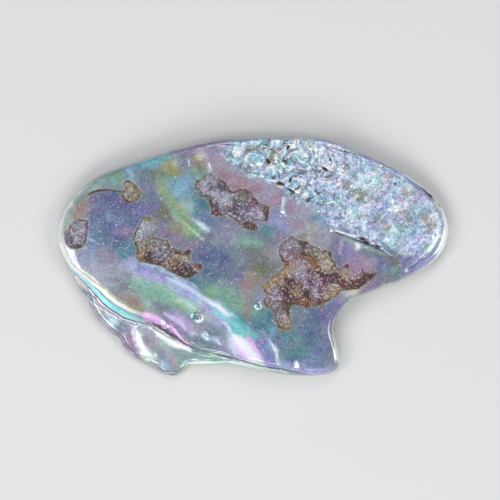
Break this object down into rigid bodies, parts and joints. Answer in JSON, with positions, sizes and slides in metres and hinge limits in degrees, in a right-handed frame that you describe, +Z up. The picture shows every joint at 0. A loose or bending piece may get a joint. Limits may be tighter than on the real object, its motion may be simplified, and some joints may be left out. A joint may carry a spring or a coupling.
{
  "type": "polished abalone shell piece",
  "caption": "Polished free-form piece of abalone shell wall: a thin pearly arched plate with a layered, frilled lip, a rough muscle scar and a wide bay in one side.",
  "frame": {"origin": "on the ground, under the middle of the piece's bounding box", "axes": "+X along the length towards the rounded right end, +Y away from the frilled lip, +Z up out of the polished face"},
  "size_m": [0.065, 0.0395, 0.0061],
  "materials": {
    "nacre": "polished, pearly and iridescent"
  },
  "bodies": {
    "root": {"abalone_shell": "nacre"}
  },
  "joints": []
}
